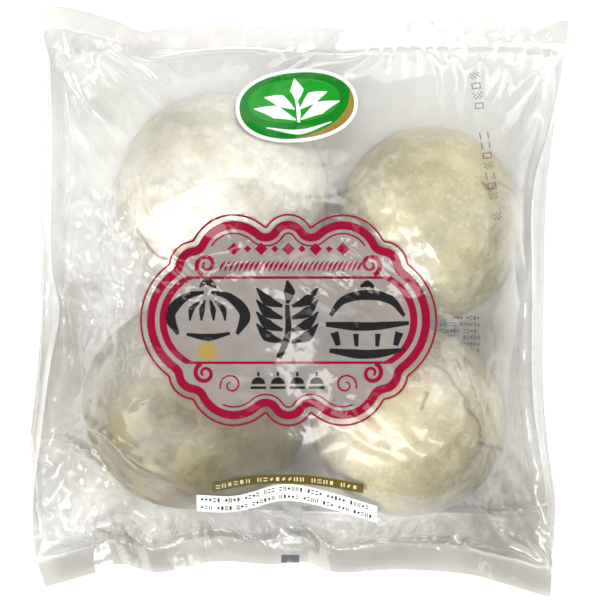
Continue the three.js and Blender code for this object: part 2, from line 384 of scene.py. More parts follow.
def lie_on(domes, p, before, free):
    """Moves points out of some domes, where friction then holds them."""
    grip, least_rise = 0.7, 0.02
    for dome in domes:
        middle = (*dome.at, 0)
        top = dome.height + FILM_GAP
        out = (p - middle) / (dome.half[0] + FILM_GAP, dome.half[1] + FILM_GAP, top)
        out[..., 2] = np.maximum(out[..., 2], least_rise)
        reach = np.hypot(out[..., 0], out[..., 1])
        near = (reach < 1) & (free[..., 0] > 0)
        depth = (reach[near] ** DOME_POWER + out[near][:, 2] ** DOME_POWER) ** (1 / DOME_POWER)
        sunk = depth < 1
        rows, columns = (k[sunk] for k in np.nonzero(near))
        spots = p[rows, columns]
        spots[:, 2] = np.maximum(spots[:, 2], least_rise * top)
        spots = middle + (spots - middle) * (1 / depth[sunk])[:, None]
        p[rows, columns] = spots
        before[rows, columns] = before[rows, columns] * (1 - grip) + spots * grip


def rest_lengths(base):
    """The film's spacing across each row and along each column: as cut in the middle, and nearer to
    the length of the sealed edges beside them."""

    def spacing(axis, cut):
        arc_length = np.linalg.norm(np.diff(base, axis=axis), axis=-1).sum(axis)
        spare = np.sin(np.pi * np.linspace(0, 1, len(arc_length))) ** 0.6
        slack = EDGE_SLACK + (1 - EDGE_SLACK) * spare
        return (arc_length + (cut - arc_length) * slack) / (base.shape[axis] - 1)

    return spacing(1, FILM_WIDTH)[:, None, None], spacing(0, FILM_LENGTH)[None, :, None]


def settle(start, base, stage, seed, weight, filled):
    """Settles one level of a film from a start, tied to the bag's edges and fins. The front film is
    filled: the air and the buns hold it up."""
    side_tie, damping = 0.1, 0.96
    p = start.copy()
    free = np.ones((*base.shape[:2], 1))
    for band in fins(len(base)):
        free[band] = 0
        p[band] = base[band]
    tie = np.zeros_like(free)
    tie[:, [0, -1]] = side_tie
    across, along = rest_lengths(base)
    p += np.random.default_rng(seed).normal(0, stage.noise, p.shape) * free
    before = p.copy()
    for _ in range(stage.rounds):
        speed = (p - before) * damping
        before = p.copy()
        p += speed * free
        if filled:
            hold_air(p, free, AIR_AND_BUNS)
        p[..., 2] -= weight * free[..., 0]
        keep_lengths(p, free, across, along, stage.bend)
        if filled:
            lie_on((*BUNS.values(), AIR_POCKET), p, before, free)
        p[..., 2] = np.maximum(p[..., 2], BACK_LEVEL)
        p += (base - p) * tie
    return p


def settle_front():
    """The front film, from a coarse grid to a fine one."""
    for level, stage in enumerate(SETTLING):
        rows = round(FILM_LENGTH / stage.spacing) + 1
        columns = round(FILM_WIDTH / stage.spacing) + 1
        base = lay_out(rows, columns)
        if level == 0:
            p = base.copy()
            u = np.linspace(0, 1, columns)[None]
            v = np.linspace(0, 1, rows)[:, None]
            p[..., 2] += FIRST_RISE * (np.sin(np.pi * u) * np.sin(np.pi * v)) ** 0.5
        else:
            p = resample(p, rows, columns)
        p = settle(p, base, stage, SEED + level, weight=0.01, filled=True)
    return resample(p, FRONT_ROWS, FRONT_COLUMNS)


def crease(grid):
    """Adds the film's creases and standing folds, along its own normals, weaker in the fins."""
    patchy, bent = 0.5, 0.25  # how uneven the creasing is, and how far a facet's border strays
    patches = {"seed": 77, "waves": 8, "longest": 90.0, "shortest": 25.0}
    bends = {"waves": 10, "longest": 60.0, "shortest": 9.0}
    fin_fade, side_fade, least_in_fin = 0.015, 0.03, 0.22
    rows, columns, _ = grid.shape
    x, y = grid[..., 0], grid[..., 1]
    out = np.zeros_like(x)
    share = np.full_like(x, LEAST_CREASED)
    for at, reach, most in CREASED:
        far = np.hypot(x - at[0], y - at[1]) / reach
        share += (most - LEAST_CREASED) * np.exp(-(far**4))
    share = np.clip(share * (1 + patchy * smooth_noise(x, y, 0, **patches)), 0.15, 2.0)
    for layer in CREASES:
        turn = math.radians(layer.along)
        wander = layer.size * bent
        wx = x + wander * smooth_noise(x, y, 0, layer.seed + 60, **bends)
        wy = y + wander * smooth_noise(x, y, 0, layer.seed + 80, **bends)
        across = (wx * math.cos(turn) + wy * math.sin(turn)) / layer.longer
        along = -wx * math.sin(turn) + wy * math.cos(turn)
        border, value = facets(across, along, layer.size, layer.seed)
        out += layer.depth * border * value * share**layer.only
    # A fold is highest along its line and fades towards its two ends.
    for height, width, points in FOLDS:
        line = curve_through(points, 60)
        far = from_line(x, y, line)
        fade = np.sin(np.pi * (0.08 + 0.84 * far.argmin(-1) / (len(line) - 1))) ** 0.7
        side = np.clip(1 - far.min(-1) / width, 0, 1)
        out += height * fade * side**1.3
    v = np.linspace(0, 1, rows)[:, None]
    u = np.linspace(0, 1, columns)[None, :]
    from_fins = np.clip((np.minimum(v, 1 - v) - FIN / FILM_LENGTH) / fin_fade, least_in_fin, 1)
    from_sides = np.clip(np.minimum(u, 1 - u) / side_fade, 0, 1)
    normal = np.cross(np.gradient(grid, axis=1), np.gradient(grid, axis=0))
    normal /= np.linalg.norm(normal, axis=-1, keepdims=True)
    made = grid + normal * (out * (from_fins * from_sides))[..., None]
    lie_on(BUNS.values(), made, made.copy(), np.ones((rows, columns, 1)))
    made[..., 2] = np.maximum(made[..., 2], FRONT_LEVEL)
    return made


def join(p, seam):
    """Puts the outer points of one grid where those of another are."""
    p[0], p[-1], p[:, 0], p[:, -1] = seam[0], seam[-1], seam[:, 0], seam[:, -1]


def settle_back(front):
    """The back film: on the table under the buns, and joined to the front along its edges."""
    first_height, weight = 2.0, 0.05
    flat_share = 0.93  # how much of a bun's foot the film lies flat under
    seam = front[::2, ::2].copy()
    rows, columns, _ = seam.shape
    coarse_seam = resample(seam, rows // 2 + 1, columns // 2 + 1)
    p = coarse_seam.copy()
    p[1:-1, 1:-1, 2] = first_height
    p = settle(p, coarse_seam, SETTLING[0], SEED + 20, weight, filled=False)
    p = resample(p, rows, columns)
    join(p, seam)
    p = settle(p, seam, SETTLING[1], SEED + 21, weight, filled=False)
    for bun in BUNS.values():
        p[reach_from(p[..., 0], p[..., 1], bun.at, bun.half) < flat_share, 2] = BACK_LEVEL
    for band in fins(rows):
        p[band] = seam[band] - (0, 0, FIN_GAP)
    join(p, seam)
    return p


# ---- Meshes ----


def new_piece(name, points, faces, material, slot):
    """A smooth mesh object in metres from points in millimetres, riding with the bag."""
    least_turn = 75  # degrees between two faces whose edge stays sharp, as at the film's outline
    mesh = bpy.data.meshes.new(name)
    mesh.from_pydata([tuple(v) for v in np.asarray(points, float) * MM], [], faces)
    mesh.polygons.foreach_set("use_smooth", [True] * len(mesh.polygons))
    mesh.materials.append(material)
    mesh.update()
    mesh.set_sharp_from_angle(angle=math.radians(least_turn))
    piece = bpy.data.objects.new(name, mesh)
    bpy.context.scene.collection.objects.link(piece)
    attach(piece, "root")
    return piece


def mark(piece, name, values):
    """Keeps a number for each of a piece's points, for its material."""
    attribute = piece.data.attributes.new(name, "FLOAT", "POINT")
    attribute.data.foreach_set("value", values.astype(np.float32))


def grid_faces(rows, columns):
    return [
        (r * columns + c, r * columns + c + 1, (r + 1) * columns + c + 1, (r + 1) * columns + c)
        for r in range(rows - 1)
        for c in range(columns - 1)
    ]


def film_mesh(front, back):
    """Points and faces of the closed film: a fine front and a back of half its spacing, on one outline."""
    rows, columns, _ = front.shape
    inner = back[1:-1, 1:-1].reshape(-1, 3)
    on_front = np.arange(rows * columns).reshape(rows, columns)
    on_back = on_front[::2, ::2].copy()
    on_back[1:-1, 1:-1] = (rows * columns + np.arange(len(inner))).reshape(on_back[1:-1, 1:-1].shape)
    on_front, on_back = on_front.tolist(), on_back.tolist()
    faces = grid_faces(rows, columns)
    # A face of the back also takes in the front's point halfway along a side that is on the outline.
    corners = ((0, 0), (2, 0), (2, 2), (0, 2))
    for r in range(0, rows - 1, 2):
        for c in range(0, columns - 1, 2):
            loop = []
            for (down, right), (next_down, next_right) in zip(corners, corners[1:] + corners[:1]):
                loop.append(on_back[(r + down) // 2][(c + right) // 2])
                row, column = r + (down + next_down) // 2, c + (right + next_right) // 2
                if row in (0, rows - 1) or column in (0, columns - 1):
                    loop.append(on_front[row][column])
            faces.append(tuple(loop))
    return np.vstack([front.reshape(-1, 3), inner]), faces


def mark_film(film):
    """Marks on the film's points where the two films are welded, with painted shade that marks the bottom
    fin more than the top one, and what CLOUDS says of each place."""
    rows, columns = FRONT_ROWS, FRONT_COLUMNS
    # Painted shade: the bottom fin is marked twice as much as the top one, so its tint is darker.
    bottom, top, weld_edge = 1.0, 0.5, 0.006

    def seal_and_painted_shade(row):
        share = np.minimum(row, rows - 1 - row) / (rows - 1)
        most = np.where(row < rows / 2, bottom, top)
        return most * np.clip((FIN / FILM_LENGTH - share) / weld_edge, 0, 1)

    on_front = np.repeat(seal_and_painted_shade(np.arange(rows)), columns)
    on_back = np.repeat(seal_and_painted_shade(np.arange(2, rows - 1, 2)), (columns - 3) // 2)
    mark(film, "seal_and_painted_shade", np.concatenate([on_front, on_back]))
    spots = np.empty(len(film.data.vertices) * 3)
    film.data.vertices.foreach_get("co", spots)
    x, y, _ = spots.reshape(-1, 3).T / MM
    for kind, places in CLOUDS.items():
        value = np.zeros_like(x)
        for at, half, most in places:
            value = np.maximum(value, most * np.exp(-(reach_from(x, y, at, half) ** 3)))
        mark(film, kind, value)


class Surface:
    """Heights of a film, looked up from straight above."""

    def __init__(self, grid):
        self.points = grid.reshape(-1, 3)
        faces = grid_faces(*grid.shape[:2])
        self.tree = BVHTree.FromPolygons([Vector(v) for v in self.points], faces)
        self.floor = float(self.points[:, 2].min())

    def height(self, x, y):
        hit = self.tree.ray_cast(Vector((x, y, 200.0)), Vector((0, 0, -1)))[0]
        if hit is None:
            hit = self.tree.find_nearest(Vector((x, y, self.floor)))[0]
        return hit.z


# ---- Print: flat outlines, laid on the film ----

INK_LIFT = 0.12  # from the film up to the ink's top
INK_THICKNESS = 0.04
TOP_INK = INK_LIFT + 0.05  # for ink printed over other ink
# The first of these lifts is for the badge's lighter green patch, a painted highlight.
PAINTED_HIGHLIGHT_LIFT, BADGE_TOP = TOP_INK + 0.03, TOP_INK + 0.05  # for ink over that


def around(centre, radius, angle):
    """Points round a centre."""
    return np.stack([centre[0] + radius * np.cos(angle), centre[1] + radius * np.sin(angle)], 1)


def arc(centre, radius, start, end, steps):
    """Points on an arc, with angles in degrees."""
    return around(centre, radius, np.radians(np.linspace(start, end, steps)))


def disc(centre, radius, steps=48):
    return arc(centre, radius, 0, 360 - 360 / steps, steps)


def box(centre, width, height, turn=0.0):
    """A small rectangle, turned by an angle in degrees."""
    c, s = math.cos(math.radians(turn)), math.sin(math.radians(turn))
    x, y = centre
    corners = [(-width, -height), (width, -height), (width, height), (-width, height)]
    return np.array([(x + (a * c - b * s) / 2, y + (a * s + b * c) / 2) for a, b in corners])


def ribbon(middle, side):
    """The outline of a band along a line, given how far one of its sides is from the line."""
    return np.vstack([middle + side, (middle - side)[::-1]])


def stroke(line, widths, steps=40):
    """The outline of a brush stroke along a smooth line, with a width at each of its given points."""
    line = np.array(line, float)
    smooth = curve_through(line, steps) if len(line) > 2 else np.linspace(line[0], line[1], steps)
    width = np.interp(np.linspace(0, 1, steps), np.linspace(0, 1, len(widths)), widths)
    along = np.gradient(smooth, axis=0)
    along /= np.linalg.norm(along, axis=1, keepdims=True)
    return ribbon(smooth, np.stack([-along[:, 1], along[:, 0]], 1) * width[:, None] / 2)


def spiral(centre, outer, inner, start, turns, widths):
    """A scroll: a stroke that curls in from an outer to an inner radius."""
    t = np.linspace(0, 1, 28)
    angle = math.radians(start) + t * turns * math.tau
    return stroke(around(centre, outer + (inner - outer) * t, angle), widths, 60)


def shift(loop, by):
    return np.asarray(loop, float) + np.array(by, float)


def mirror(loop):
    """A loop flipped from left to right."""
    return (np.array(loop, float) * (-1, 1))[::-1]


def both(loop):
    return [loop, mirror(loop)]


def inside(points, loops):
    """Which points lie on a shape, given as its outline and its holes."""
    x, y = points[:, 0][:, None], points[:, 1][:, None]
    times_inside = np.zeros(len(points), int)
    for loop in loops:
        ax, ay = loop[:, 0], loop[:, 1]
        bx, by = np.roll(ax, -1), np.roll(ay, -1)
        crosses = (ay > y) != (by > y)
        with np.errstate(divide="ignore", invalid="ignore"):
            at = (bx - ax) * (y - ay) / (by - ay) + ax
        times_inside += (crosses & (x < at)).sum(1) % 2
    return times_inside == 1


def fill(loops, surface):
    """Triangles over a shape, given as its outline and its holes, with the film's own points inside it."""
    clear, snap = 0.25, 1e-4  # from the outline to the film's points, and between two points that are one
    corners, edges = [], []
    for loop in loops:
        first = len(corners)
        corners += [tuple(v) for v in loop]
        edges += [(first + k, first + (k + 1) % len(loop)) for k in range(len(loop))]
    drawn = KDTree(len(corners))
    for number, spot in enumerate(corners):
        drawn.insert((*spot, 0), number)
    drawn.balance()
    near = surface.points[:, :2]
    near = near[((near > loops[0].min(0)) & (near < loops[0].max(0))).all(1)]
    near = [v for v in near[inside(near, loops)] if drawn.find((*v, 0))[2] > clear]
    points = [Vector(v) for v in corners + near]
    found, _, faces, *_ = geometry.delaunay_2d_cdt(points, edges, [], 1, snap)
    flat = np.array([(v.x, v.y) for v in found])
    faces = np.array([tuple(f) for f in faces])
    faces = faces[inside(flat[faces].mean(1), loops)]
    a, b, c = (flat[faces[:, k]] for k in range(3))
    area = (b - a)[:, 0] * (c - a)[:, 1] - (b - a)[:, 1] * (c - a)[:, 0]
    faces[area < 0] = faces[area < 0][:, ::-1]
    faces = faces[np.abs(area) > 1e-9]
    used, faces = np.unique(faces, return_inverse=True)
    return flat[used], [tuple(f) for f in faces.reshape(-1, 3).tolist()]


def dense(loop):
    """A closed loop with more points on its longer sides, so that it can follow the film."""
    longest, points = 1.2, []
    loop = np.asarray(loop, float)
    for a, b in zip(loop, np.roll(loop, -1, 0)):
        steps = max(1, math.ceil(math.dist(a, b) / longest))
        points += [a + (b - a) * k / steps for k in range(steps)]
    return np.array(points)


def rim_of(faces):
    """The edges that only one face has, each in that face's direction."""
    seen = {(f[k], f[(k + 1) % len(f)]) for f in faces for k in range(len(f))}
    return [(a, b) for a, b in seen if (b, a) not in seen]


def ink(name, shapes, material, slot, surface, lift=INK_LIFT, thickness=INK_THICKNESS):
    """A thin closed shell of ink for each shape, all in one piece, laid on a film."""
    points, faces = [], []
    for loops in shapes:
        flat, triangles = fill([dense(loop) for loop in loops], surface)
        heights = [surface.height(x, y) + lift for x, y in flat]
        first, count = len(points), len(flat)
        for drop in (0, thickness):
            points += [(x, y, z - drop) for (x, y), z in zip(flat, heights)]
        faces += [tuple(first + k for k in t) for t in triangles]
        faces += [tuple(first + count + k for k in t[::-1]) for t in triangles]
        faces += [(first + b, first + a, first + count + a, first + count + b) for a, b in rim_of(triangles)]
    return new_piece(name, points, faces, material, slot)


# The printed frame: its lobes, as circles round its middle, on one quarter of it, and how far in from
# its edge each line and band runs.
FRAME_AT = (-4.95, -7.5)
FRAME_LOBES = [((34.0, 0.0), 29.5), ((40.0, 22.8), 11.2), ((23.2, 25.8), 19.4), ((0.0, 34.4), 11.0)]
OUTER_LINE = (0.0, 0.85)
BAND = (3.0, 6.5)
INNER_LINE = (7.9, 8.6)
# The long panel inside the frame: half its height, and the middle and radius of its right end, for the
# outer and the inner side of its outline.
PANEL = [(18.7, 34.0, 21.1), (17.6, 32.6, 19.4)]


def at_frame(x, y):
    return FRAME_AT[0] + x, FRAME_AT[1] + y


def lobed(inset):
    """The frame's outline, or a line that runs inside it at an even distance."""
    steps, rounds, blur = 540, 40, (0.2, 0.6, 0.2)
    ray = around((0, 0), 1, np.linspace(0, math.tau, steps, endpoint=False))
    reach = np.zeros(steps)
    for (x, y), radius in FRAME_LOBES:
        for centre in ((-x, -y), (-x, y), (x, -y), (x, y)):
            along = ray @ np.array(centre)
            under = radius**2 - np.dot(centre, centre) + along**2
            reach = np.maximum(reach, np.where(under > 0, along + np.sqrt(np.maximum(under, 0)), 0))
    outline = ray * reach[:, None]
    if inset:
        for _ in range(rounds):
            spots = ray * reach[:, None]
            reach -= np.maximum(inset - from_line(spots[:, 0], spots[:, 1], outline).min(1), 0)
    padded = np.concatenate([reach[-1:], reach, reach[:1]])
    return ray * np.convolve(padded, blur, "valid")[:, None]


def panel(half_height, middle, radius):
    """An outline with two straight sides and a round end at the left and the right."""
    edge = math.degrees(math.asin(half_height / radius))
    return np.vstack(both(arc((middle, 0), radius, -edge, edge, 40)))


def part_of(loop, low, high):
    """The numbers of a loop's points from one angle to another, in degrees round its middle."""
    angle = np.degrees(np.arctan2(loop[:, 1], loop[:, 0]))
    order = np.argsort(angle)
    return order[(angle[order] >= low) & (angle[order] <= high)]


def inner_line(low, high):
    """The part of the frame's inner line from one angle to another."""
    outer, inner = (lobed(inset) for inset in INNER_LINE)
    part = part_of(outer, low, high)
    return np.vstack([outer[part], inner[part][::-1]])


def frame_shapes():
    """The crimson frame: an outer line, a broad band, the panel's outline, scrolls and small marks."""
    shapes = [[lobed(inset) for inset in insets] for insets in (OUTER_LINE, BAND)]
    shapes += [[panel(*side) for side in PANEL], [inner_line(44, 136)], [inner_line(-128, -52)]]
    broad, thin = [1.9, 1.8, 1.5, 1.0], [0.7, 0.8, 0.8, 0.6]
    scrolls = (
        spiral((35.0, 23.6), 4.6, 1.0, -70, 1.35, broad),
        spiral((35.6, -22.6), 4.4, 1.0, 70, -1.35, broad),
        spiral((24.4, -27.6), 4.8, 1.0, -20, 1.3, thin),
    )
    shapes += [[loop] for scroll in scrolls for loop in both(scroll)]
    for k in range(-4, 5):
        size = 3.9 if k % 2 == 0 else 2.2
        shapes.append([box((k * 5.8, 30.4), size, size, 45)])
    for k in range(-14, 15):
        slant = [(k * 2.1, 20.9), (k * 2.1 + 1.1, 23.3), (k * 2.1 + 2.5, 25.2)]
        shapes.append([stroke(slant, [0.3, 1.3, 0.3], 8)])
    return [[shift(loop, FRAME_AT) for loop in shape] for shape in shapes]


def bun_mark():
    """A pleated bun in brush strokes."""
    side = [(-1.6, 11.4), (-9.5, 9.2), (-16.0, 1.6), (-12.6, -6.6)]
    loops = both(stroke(side, [1.2, 3.0, 4.4, 4.6, 1.4]))
    loops.append(stroke([(-3.4, 13.6), (-0.4, 15.9), (3.8, 13.2)], [0.8, 3.6, 0.8]))
    for x in (-7.6, -2.6, 2.6, 7.6):
        pleat = [(x * 0.42, 8.2 - abs(x) * 0.1), (x * 0.86, 4.4), (x, -0.8)]
        loops.append(stroke(pleat, [0.7, 2.6, 0.7]))
    loops.append(stroke([(-9.0, -6.6), (0.5, -7.9), (9.6, -6.2)], [1.2, 3.2, 1.2]))
    return loops


def wheat_mark():
    """An ear of wheat in brush strokes."""
    loops = [stroke([(-3.4, -15.5), (0.2, -6), (0, 6)], [2.4, 2.6, 1.8])]
    loops.append(stroke([(0, 6.5), (0.8, 11), (0, 15.8)], [1.2, 4.8, 0.8]))
    for k in range(4):
        low = -9 + 4.8 * k
        loops += both(stroke([(1.9, low), (8.0, low + 2.4), (12.4, low + 7.4)], [1.2, 4.4, 0.6]))
    return loops


def steamer_mark():
    """A steamer basket with its domed lid, in brush strokes."""
    lid = [(-15.5, 2.4), (-10.5, 8.6), (0, 11.2), (10.5, 8.8), (16, 2.2)]
    return [
        stroke([(-2.8, 14.8), (0.4, 15.9), (3.0, 14.4)], [1.0, 3.0, 1.0]),
        stroke(lid, [1.6, 3.6, 4.4, 3.8, 1.4]),
        stroke([(-17.5, -1.4), (0, -2.3), (18, -0.8)], [2.0, 3.8, 3.4, 1.6]),
        stroke([(-16.0, -12.6), (0, -14.2), (16.5, -12.2)], [1.8, 4.0, 3.6, 1.4]),
        *both(stroke([(-13.9, -4.8), (-12.2, -10.4)], [3.6, 2.2])),
        *both(stroke([(-4.7, -5.4), (-4.4, -10.8)], [2.4, 1.6])),
    ]


def black_shapes():
    """The three large marks in the panel, and four small domed covers below it."""
    shapes = []
    large = ((bun_mark, -34.5, 0.6, 1.0), (wheat_mark, -0.5, 0.2, 1.06), (steamer_mark, 33.5, -0.4, 1.0))
    for draw, x, y, scale in large:
        shapes += [[shift(loop * scale, at_frame(x, y))] for loop in draw()]
    for k in range(4):
        x, y = at_frame(-12.8 + 8.3 * k, -26.6)
        dome = arc((x, y - 0.6), 2.9, 0, 180, 20)
        shapes += [[dome], [box((x, y - 2.2), 6.6, 1.1)], [box((x, y + 3.6), 1.0, 1.7)]]
    return shapes


BADGE_AT = (-1.3, 84.7)
BADGE_HALF = (26.2, 16.0)
BADGE_POWER = 2.2  # how square its oval is: 2 is an ellipse
BADGE_TURN = 6.0


def badge_oval(inset=0.0, steps=120):
    """The badge's rounded outline, or one that is smaller by an inset."""
    t = np.linspace(0, math.tau, steps, endpoint=False)
    sides = zip((np.cos(t), np.sin(t)), BADGE_HALF)
    return np.stack([np.sign(s) * np.abs(s) ** (2 / BADGE_POWER) * (half - inset) for s, half in sides], 1)


def on_badge(loop):
    """A loop turned with the badge and moved to it."""
    c, s = math.cos(math.radians(BADGE_TURN)), math.sin(math.radians(BADGE_TURN))
    return np.asarray(loop, float) @ np.array([[c, s], [-s, c]]) + BADGE_AT


def badge_leaves():
    """A sprig of five leaves for the badge, over a curved stroke."""
    loops = [stroke([(0, -7.5), (0.4, -2), (0, 2)], [1.2, 1.8, 1.2])]
    loops.append(stroke([(0, 1.5), (0.6, 6), (0, 12.0)], [0.6, 6.0, 0.4]))
    for low, reach in ((-1.6, 13.5), (-6.2, 18.5)):
        loops += both(stroke([(1.2, low), (reach * 0.55, low + 4.4), (reach, low + 6.4)], [0.6, 5.8, 0.4]))
    loops.append(stroke([(-14, -8.6), (0, -11.6), (14, -8.6)], [0.4, 2.2, 0.4]))
    return loops


def badge_crescent():
    """The crescent along the badge's lower right side."""
    broadest = 0.16
    edge = badge_oval(1.6, 240)
    edge = edge[part_of(edge, -105, 12)]
    share = np.linspace(0, 1, len(edge))[:, None]
    inner = edge * (1 - broadest * np.sin(np.pi * share) ** 0.8) - (0, 0.01)
    return np.vstack([edge, inner[::-1][1:-1]])


# A block, two upright bars, two level bars and a diamond: of each box its place, its width and its height,
# as shares of a row's pitch and height, and its turn in degrees.
SPECKS = [
    [(0, 0, 0.5, 0.8, 0)],
    [(-0.22, 0, 0.2, 0.9, 0), (0.22, 0, 0.2, 0.9, 0)],
    [(0, -0.28, 0.7, 0.22, 0), (0, 0.28, 0.7, 0.22, 0)],
    [(0, 0, 0.55, 0.45, 45)],
]


def specks(line, rise, height, seed, pitch=1.75, group=7):
    """A row of specks beside a line, in groups with gaps between them."""
    first, margin, gap = 2.4, 2.6, 0.9
    rng = np.random.default_rng(seed)
    spots = curve_through(line, 200)
    run = run_along(spots)
    at, shapes, left = first, [], rng.integers(3, group)
    while at < run[-1] - margin:
        x, y = (np.interp(at, run, spots[:, k]) for k in (0, 1))
        if left:
            for right, up, wide, tall, turn in SPECKS[rng.integers(4)]:
                centre = (x + right * pitch, y + rise + up * height)
                shapes.append([box(centre, wide * pitch, tall * height, turn)])
            left -= 1
            at += pitch
        else:
            left = rng.integers(3, group)
            at += pitch * gap
    return shapes


# The date stamp: cells of small dots down the film, from its first to its last, with gaps.
STAMP_LINE = [(75.2, 99.0), (84.7, 32.0)]
STAMP_CELL = 4.4
STAMP_GAPS = (4, 5, 13)
STAMP_STEP, STAMP_RISE = 0.75, 0.85  # between two dots, down the film and across it
STAMP_DOT = 0.30


def stamp_shapes():
    """Small printed dots down the right of the film: each cell a square, two bars or a check."""
    rng = np.random.default_rng(44)
    first, last = np.array(STAMP_LINE)
    length = math.dist(first, last)
    along = (last - first) / length
    across = np.array([-along[1], along[0]])
    shapes = []
    for cell in range(int(length / STAMP_CELL)):
        if cell in STAMP_GAPS:
            continue
        kind = rng.integers(3)
        for step in range(4):
            for rise in range(5):
                on_rim = step in (0, 3) or rise in (0, 4)
                if (on_rim, rise in (0, 4), (step + rise) % 2 == 0)[kind]:
                    down = along * (cell * STAMP_CELL + step * STAMP_STEP)
                    shapes.append([disc(first + (down + across * (rise - 2) * STAMP_RISE), STAMP_DOT, 8)])
    return shapes


# ---- Materials ----


class Nodes:
    """A small helper that adds linked shader nodes to a material or a world."""

    def __init__(self, owner, output="OutputMaterial"):
        self.owner = owner
        owner.use_nodes = True
        self.tree = owner.node_tree
        self.tree.nodes.clear()
        self.output = self.add(output)

    def add(self, kind, inputs=(), **settings):
        node = self.tree.nodes.new("ShaderNode" + kind)
        for key, value in settings.items():
            setattr(node, key, value)
        for key, value in dict(inputs).items():
            if isinstance(value, bpy.types.NodeSocket):
                self.tree.links.new(value, node.inputs[key])
            else:
                node.inputs[key].default_value = value
        return node

    def place(self, scale=(1, 1, 1)):
        """Object coordinates in metres, stretched."""
        spot = self.add("TexCoord").outputs["Object"]
        return self.add("Mapping", {"Vector": spot, "Scale": scale}).outputs[0]

    def bent(self, spot, by, per_metre, detail, sides="3D"):
        """Coordinates bent by a noise of their own, by up to about half a length in metres."""
        inputs = {"Vector": spot, "Scale": per_metre, "Detail": detail}
        waver = self.add("TexNoise", inputs, noise_dimensions=sides).outputs["Color"]
        inputs = {0: waver, 1: (by, by, by), 2: spot}
        return self.add("VectorMath", inputs, operation="MULTIPLY_ADD").outputs[0]

    def noise(self, per_metre, detail, rough=0.5, warp=0.0, sides="3D"):
        inputs = {"Vector": self.place(), "Scale": per_metre, "Detail": detail, "Roughness": rough}
        inputs["Distortion"] = warp
        return self.add("TexNoise", inputs, noise_dimensions=sides).outputs["Fac"]

    def cells(self, spot, per_metre, feature="F1", output="Distance", sides="2D"):
        inputs = {"Vector": spot, "Scale": per_metre}
        return self.add("TexVoronoi", inputs, feature=feature, voronoi_dimensions=sides).outputs[output]

    def ramp(self, value, *stops):
        node = self.add("ValToRGB", {"Fac": value})
        elements = node.color_ramp.elements
        while len(elements) < len(stops):
            elements.new(0.5)
        for element, (position, colour) in zip(elements, stops):
            element.position = position
            element.color = (*colour, 1)
        return node.outputs["Color"]

    def range(self, value, low, high, to_low, to_high):
        inputs = {"Value": value, "From Min": low, "From Max": high, "To Min": to_low, "To Max": to_high}
        return self.add("MapRange", inputs).outputs[0]

    def math(self, operation, a, b):
        return self.add("Math", {0: a, 1: b}, operation=operation).outputs[0]

    def mix(self, share, below, above):
        """One shader over another."""
        return self.add("MixShader", {0: share, 1: below, 2: above}).outputs[0]

    def bump(self, height, distance, strength=1.0, below=None):
        inputs = {"Height": height, "Distance": distance, "Strength": strength}
        if below is not None:
            inputs["Normal"] = below
        return self.add("Bump", inputs).outputs["Normal"]

    def mark(self, name):
        """What a mark on the mesh's points says."""
        return self.add("Attribute", attribute_name=name).outputs["Fac"]

    def finish(self, shader):
        self.tree.links.new(shader, self.output.inputs["Surface"])
        return self.owner


def fine_creases(n):
    """The finest creases of the film, as a bump: small facets and a soft waviness."""
    wavy = n.noise(70, 2, warp=0.4, sides="2D")
    small = n.cells(n.place((1.0, 0.7, 1.0)), 260.0)
    return n.bump(n.math("ADD", n.math("MULTIPLY", small, 0.10), wavy), 0.0007)


def crumples(n, strength, below):
    """Small sharp facets over a relief, as where film is crushed: longer up the bag than across it."""
    spot = n.bent(n.place((1.0, 0.5, 1.0)), 0.014, 60.0, 1.0, "2D")
    large, small = (n.cells(spot, per_metre, "DISTANCE_TO_EDGE") for per_metre in (150.0, 340.0))
    return n.bump(n.math("ADD", large, n.math("MULTIPLY", small, 0.22)), 0.0022, strength, below)


def film_material():
    """Clear glossy film, a little milky, with fine creases between the modelled folds."""
    n = Nodes(bpy.data.materials.new("clear_film"))
    seal_and_painted_shade, cling, sheen, crumple = (n.mark(name) for name in ("seal_and_painted_shade", "cling", "sheen", "crumple"))
    relief = crumples(n, crumple, fine_creases(n))
    # Painted shade: the see-through tint turns a warm grey where the film is marked as shaded and at the
    # welds; that warm grey also stands for light bounced off the buns.
    painted_shade_and_weld = n.math("MAXIMUM", seal_and_painted_shade, n.mark("shade"))
    tint = n.ramp(painted_shade_and_weld, (0.0, (0.95, 0.952, 0.947)), (1.0, (0.70, 0.69, 0.655)))
    clear = n.add("BsdfTransparent", {"Color": tint}).outputs[0]
    haze = n.add("BsdfDiffuse", {"Color": (0.90, 0.90, 0.89, 1), "Normal": relief}).outputs[0]
    sharp, soft = (
        n.add("BsdfAnisotropic", {"Color": (1, 1, 1, 1), "Roughness": rough, "Normal": relief}).outputs[0]
        for rough in (0.13, 0.42)
    )
    soft_share = n.math("MAXIMUM", n.range(cling, 0, 1, 0.25, 0.95), n.range(sheen, 0, 1, 0.25, 0.7))
    soft_share = n.math("MAXIMUM", soft_share, n.math("MULTIPLY", crumple, 0.5))
    cloud = n.range(n.noise(38, 3, 0.6, sides="2D"), 0.35, 0.7, 0.04, 0.11)
    cloud = n.math("ADD", n.math("ADD", cloud, n.math("MULTIPLY", seal_and_painted_shade, 0.10)), n.mark("milk_and_painted_glare"))
    fresnel = n.add("Fresnel", {"IOR": 1.5, "Normal": relief}).outputs[0]
    shine = n.math("ADD", n.range(cling, 0, 1, 2.0, 0.5), n.range(sheen, 0, 1, 0, 1.6))
    mirror_share = n.math("MINIMUM", n.math("MULTIPLY", fresnel, shine), 0.7)
    return n.finish(n.mix(mirror_share, n.mix(cloud, clear, haze), n.mix(soft_share, sharp, soft)))


